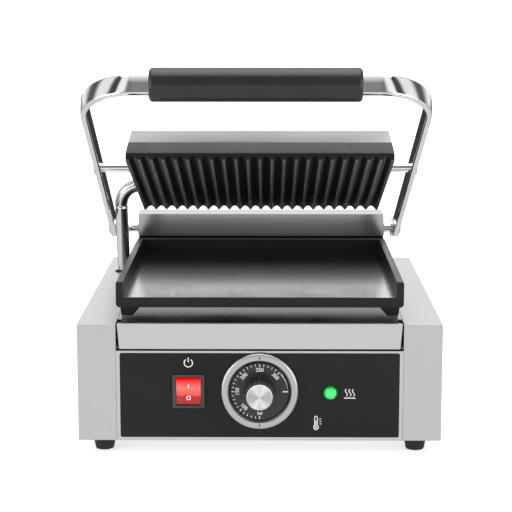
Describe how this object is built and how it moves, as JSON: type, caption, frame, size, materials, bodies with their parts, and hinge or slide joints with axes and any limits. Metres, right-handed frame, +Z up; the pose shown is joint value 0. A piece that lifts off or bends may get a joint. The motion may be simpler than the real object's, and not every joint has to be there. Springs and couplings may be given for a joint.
{
  "type": "panini press",
  "caption": "Single contact grill with a smooth lower plate, a ribbed upper plate on a looped handle, a drip tray, a temperature dial, a rocker switch and a signal lamp.",
  "frame": {"origin": "centre of the whole object's footprint, on the surface that the feet stand on, with the lid raised", "axes": "+X to the right seen from the front, +Y to the rear, +Z up"},
  "size_m": [0.29, 0.344, 0.3087],
  "materials": {
    "stainless": "brushed",
    "galvanised": "matt",
    "plated_steel": "satin",
    "polished": "polished",
    "cast_iron": "satin enamelled",
    "black_enamel": "satin",
    "heater_sheath": "matt",
    "insulation": "matt",
    "copper": "satin",
    "spring_steel": "satin",
    "rubber": "matt",
    "spun_aluminium": "spun",
    "grip": "satin",
    "black_plastic": "satin",
    "phenolic": "matt",
    "ceramic": "glazed",
    "red_rocker": "gloss",
    "green_lens": "gloss"
  },
  "bodies": {
    "base": {"left_side_panel": "stainless", "right_side_panel": "stainless", "base_pan": "galvanised", "front_panel": "stainless", "control_fascia": "black_enamel", "rear_panel": "stainless", "deck": "stainless", "plate_stand": "stainless", "tray_housing": "stainless", "rubber_feet": "rubber", "foot_screws": "plated_steel", "lower_plate": "cast_iron", "lower_heater": "heater_sheath", "lower_insulation": "insulation", "lower_heater_pan": "galvanised", "thermostat_bulb": "copper", "hinge_housing": "stainless", "hinge_brackets": "galvanised", "shaft_bushes": "plated_steel", "counterbalance_springs": "spring_steel", "housing_screws": "plated_steel", "conduit_lower": "polished", "conduit_grommet": "rubber", "dial_bezel": "spun_aluminium", "thermostat": "phenolic", "switch_housing": "black_plastic", "lamp_bezel": "black_plastic", "signal_lamp": "green_lens", "terminal_block": "ceramic", "cable_gland": "black_plastic", "gland_nut": "black_plastic", "rear_screws": "plated_steel"},
    "lid_arms": {"hinge_shaft": "plated_steel", "handle_bail": "polished", "handle_grip": "grip", "pivot_rod": "polished", "bail_screws": "plated_steel", "shaft_washers": "plated_steel", "conduit_upper": "polished"},
    "head": {"upper_plate": "cast_iron", "upper_cover": "stainless", "upper_heater": "heater_sheath", "upper_insulation": "insulation", "pivot_brackets": "plated_steel", "cover_screws": "plated_steel", "conduit_gland": "plated_steel"},
    "dial": {"temperature_dial": "black_plastic", "dial_cap": "spun_aluminium", "thermostat_spindle": "plated_steel"},
    "rocker": {"switch_rocker": "red_rocker"},
    "tray": {"drip_tray": "stainless"}
  },
  "joints": [
    {"name": "lid_hinge", "type": "hinge", "parent": "base", "child": "lid_arms", "pos_m": [0, 0.1, 0.145], "axis": [1, 0, 0], "range_deg": [0, 31.9], "deforming": ["conduit_lower"]},
    {"name": "head_tilt", "type": "hinge", "parent": "lid_arms", "child": "head", "pos_m": [0, -0.01006, 0.21479], "axis": [1, 0, 0], "range_deg": [-12.25, 0], "deforming": ["conduit_upper"]},
    {"name": "dial_turn", "type": "hinge", "parent": "base", "child": "dial", "pos_m": [0, -0.15, 0.0532], "axis": [0, -1, 0], "range_deg": [-270, 45]},
    {"name": "rocker_tilt", "type": "hinge", "parent": "base", "child": "rocker", "pos_m": [-0.0566, -0.148, 0.0528], "axis": [1, 0, 0], "range_deg": [-16, 0]},
    {"name": "tray_slide", "type": "slide", "parent": "base", "child": "tray", "axis": [0, -1, 0], "range_m": [0, 0.15]}
  ],
  "couplings": [
    {"joint": "head_tilt", "follows": "lid_hinge", "ratio": -0.384}
  ]
}
